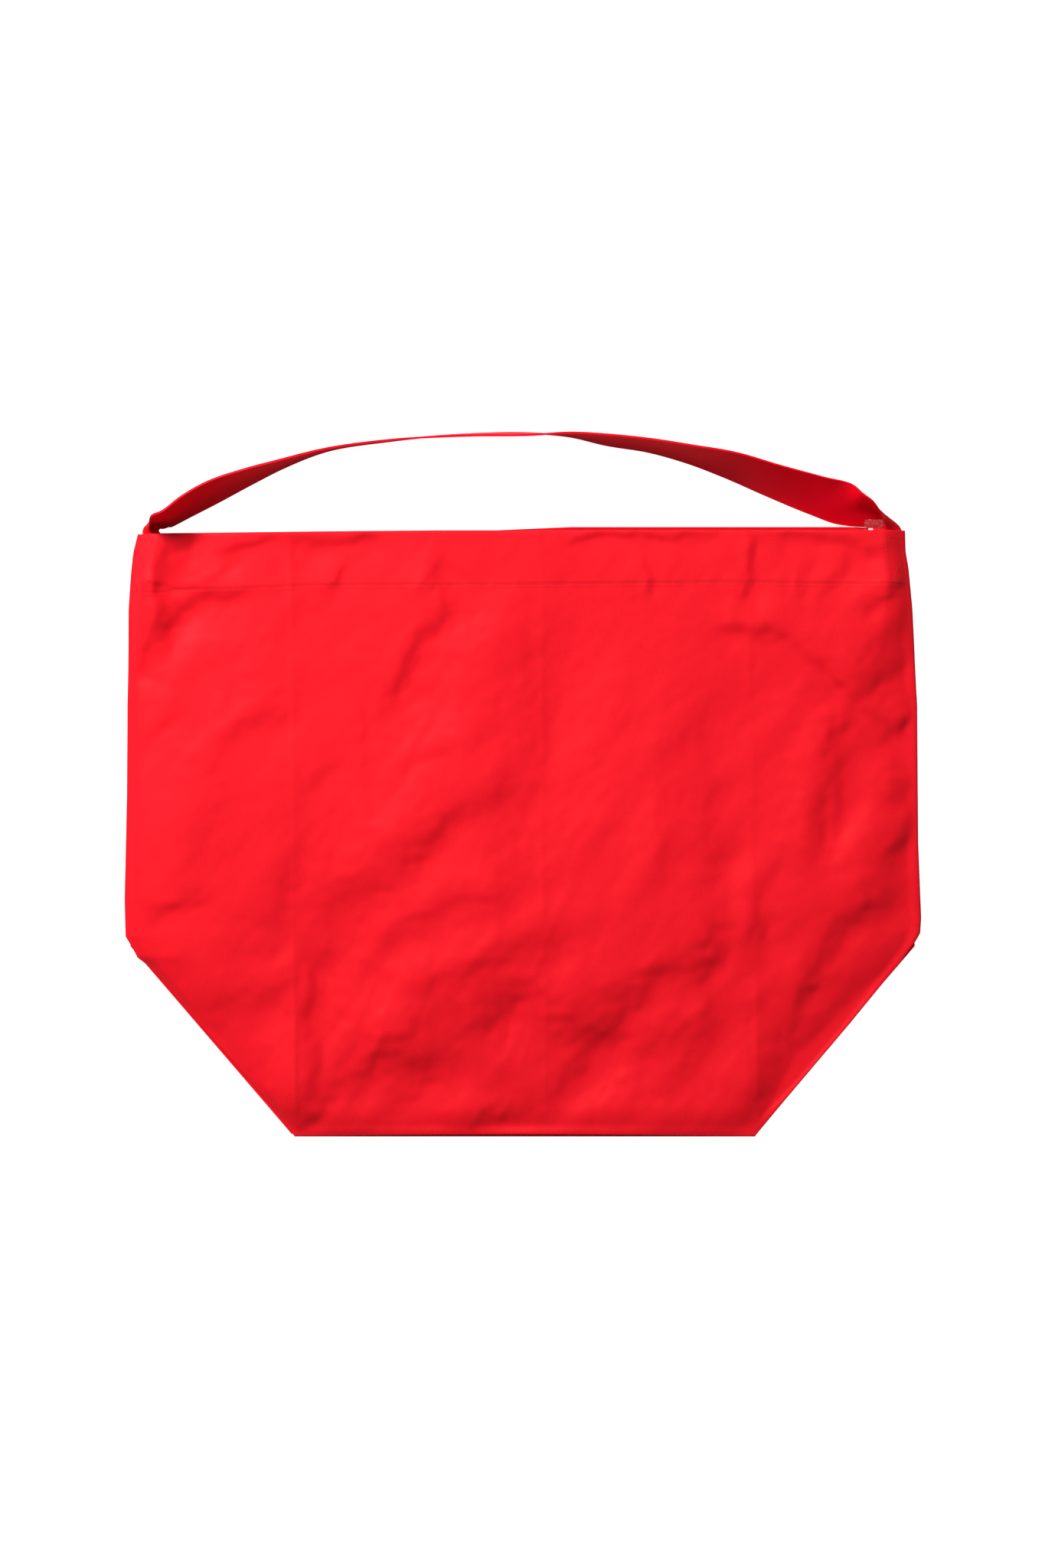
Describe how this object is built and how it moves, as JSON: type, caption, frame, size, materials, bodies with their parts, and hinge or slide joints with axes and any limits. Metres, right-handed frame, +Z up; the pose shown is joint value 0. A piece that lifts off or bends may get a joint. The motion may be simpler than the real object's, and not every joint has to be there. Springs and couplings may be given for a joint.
{
  "type": "foldable tote bag",
  "caption": "Wide thin cloth tote bag lying flat, with a tucked-in boxed base, a deep turned hem and one long strap sewn inside its side folds.",
  "frame": {"origin": "on the table, under the middle of the bag and strap as they lie", "axes": "+X along the mouth, +Y from the base fold to the mouth and strap, +Z up from the table out of the front panel"},
  "size_m": [0.6, 0.5333, 0.0389],
  "materials": {
    "bag_cloth": "fine plain weave, matt with a slight sheen",
    "strap_cloth": "the same cloth, folded in layers",
    "seam_cloth": "raw edge overlocked, matt",
    "thread": "spun polyester",
    "clear_film": "clear glossy film"
  },
  "bodies": {
    "bag_back": {"back_panel": "bag_cloth", "back_hem_stitching": "thread", "base_panel": "bag_cloth", "left_corner_tuck": "bag_cloth", "right_corner_tuck": "bag_cloth", "left_base_seam": "seam_cloth", "right_base_seam": "seam_cloth"},
    "bag_front": {"front_panel": "bag_cloth", "front_hem_stitching": "thread", "left_side_seam": "seam_cloth", "right_side_seam": "seam_cloth", "left_strap_end": "strap_cloth", "right_strap_end": "strap_cloth", "left_box_stitching": "thread", "right_box_stitching": "thread", "left_strap_bend": "strap_cloth", "right_strap_bend": "strap_cloth", "film_tab": "clear_film"},
    "strap": {"strap": "strap_cloth"}
  },
  "joints": [
    {"name": "mouth_open", "type": "hinge", "parent": "bag_back", "child": "bag_front", "pos_m": [0, -0.2665, 0.003], "axis": [1, 0, 0], "range_deg": [0, 20]},
    {"name": "strap_swing", "type": "hinge", "parent": "bag_front", "child": "strap", "pos_m": [0, 0.1925, 0.007], "axis": [1, 0, 0], "range_deg": [0, 130], "deforming": ["left_strap_bend", "right_strap_bend"]}
  ]
}
